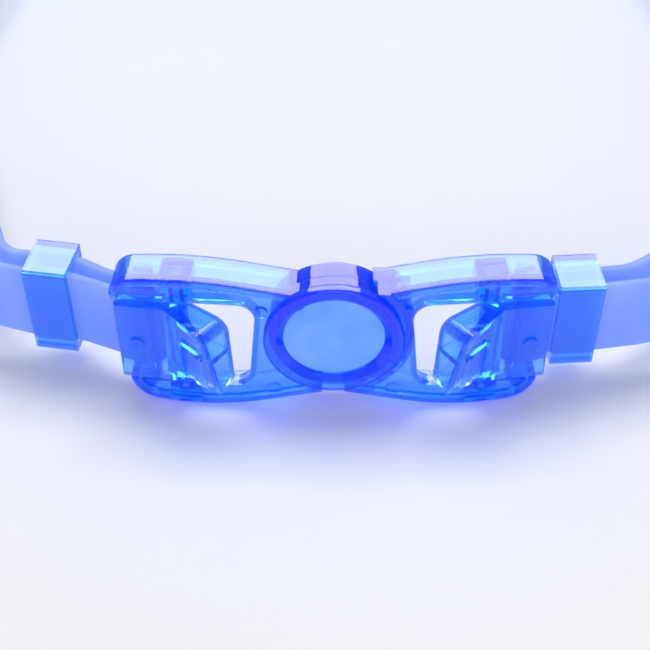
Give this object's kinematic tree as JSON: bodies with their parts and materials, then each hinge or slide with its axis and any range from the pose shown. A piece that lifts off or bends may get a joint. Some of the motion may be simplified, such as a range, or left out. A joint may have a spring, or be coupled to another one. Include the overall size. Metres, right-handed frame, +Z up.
{
  "type": "swim goggles with two-lever strap clip",
  "caption": "Swim goggles with clear blue cups and a hub-jointed rear strap clip, a cam lever on each wing and pale silicone straps held by sleeves.",
  "frame": {"origin": "middle of the bounding box in plan, on the surface the goggles stand on", "axes": "+Y out of the lenses, away from the wearer; +X to the viewer's right when looking at the rear clip; +Z up"},
  "size_m": [0.1726, 0.1914, 0.0459],
  "materials": {
    "frame_blue": "clear blue moulded polycarbonate",
    "lever_blue": "clear blue moulded polycarbonate",
    "disc_blue": "fine-grained satin blue plastic",
    "keeper_blue": "clear blue moulded polycarbonate",
    "strap_silicone": "milky pale blue silicone, satin",
    "seal_silicone": "milky pale blue silicone, satin",
    "lens_clear": "clear polycarbonate, faint blue"
  },
  "bodies": {
    "goggles": {"eyecup_left": "frame_blue", "eyecup_right": "frame_blue", "lens_left": "lens_clear", "lens_right": "lens_clear", "bezel_left": "frame_blue", "bezel_right": "frame_blue", "gasket_left": "seal_silicone", "gasket_right": "seal_silicone", "nose_bridge": "seal_silicone", "side_arm_left": "frame_blue", "side_arm_right": "frame_blue", "strap_left": "strap_silicone", "strap_right": "strap_silicone", "wing_left": "frame_blue", "hub_disc": "disc_blue", "hub_cap": "frame_blue"},
    "clip_wing_right": {"wing_right": "frame_blue"},
    "lever_left": {"lever_left": "lever_blue"},
    "lever_right": {"lever_right": "lever_blue"},
    "keeper_left": {"keeper_left": "keeper_blue"},
    "keeper_right": {"keeper_right": "keeper_blue"}
  },
  "joints": [
    {"name": "hub_swivel", "type": "hinge", "parent": "goggles", "child": "clip_wing_right", "pos_m": [-0.00011, -0.08968, 0.0174], "axis": [0, 1, 0], "range_deg": [-6, 6], "deforming": ["strap_right"]},
    {"name": "lever_left_pivot", "type": "hinge", "parent": "goggles", "child": "lever_left", "pos_m": [-0.02607, -0.08475, 0.01485], "axis": [0, 0, 1], "range_deg": [0, 28], "deforming": ["strap_left"]},
    {"name": "lever_right_pivot", "type": "hinge", "parent": "clip_wing_right", "child": "lever_right", "pos_m": [0.02586, -0.08475, 0.01485], "axis": [0, 0, -1], "range_deg": [0, 28]},
    {"name": "keeper_left_slide", "type": "slide", "parent": "goggles", "child": "keeper_left", "axis": [-0.9877, 0.1564, 0], "range_m": [0, 0.0024]},
    {"name": "keeper_right_slide", "type": "slide", "parent": "clip_wing_right", "child": "keeper_right", "axis": [0.9981, 0.061, 0], "range_m": [0, 0.003]}
  ]
}
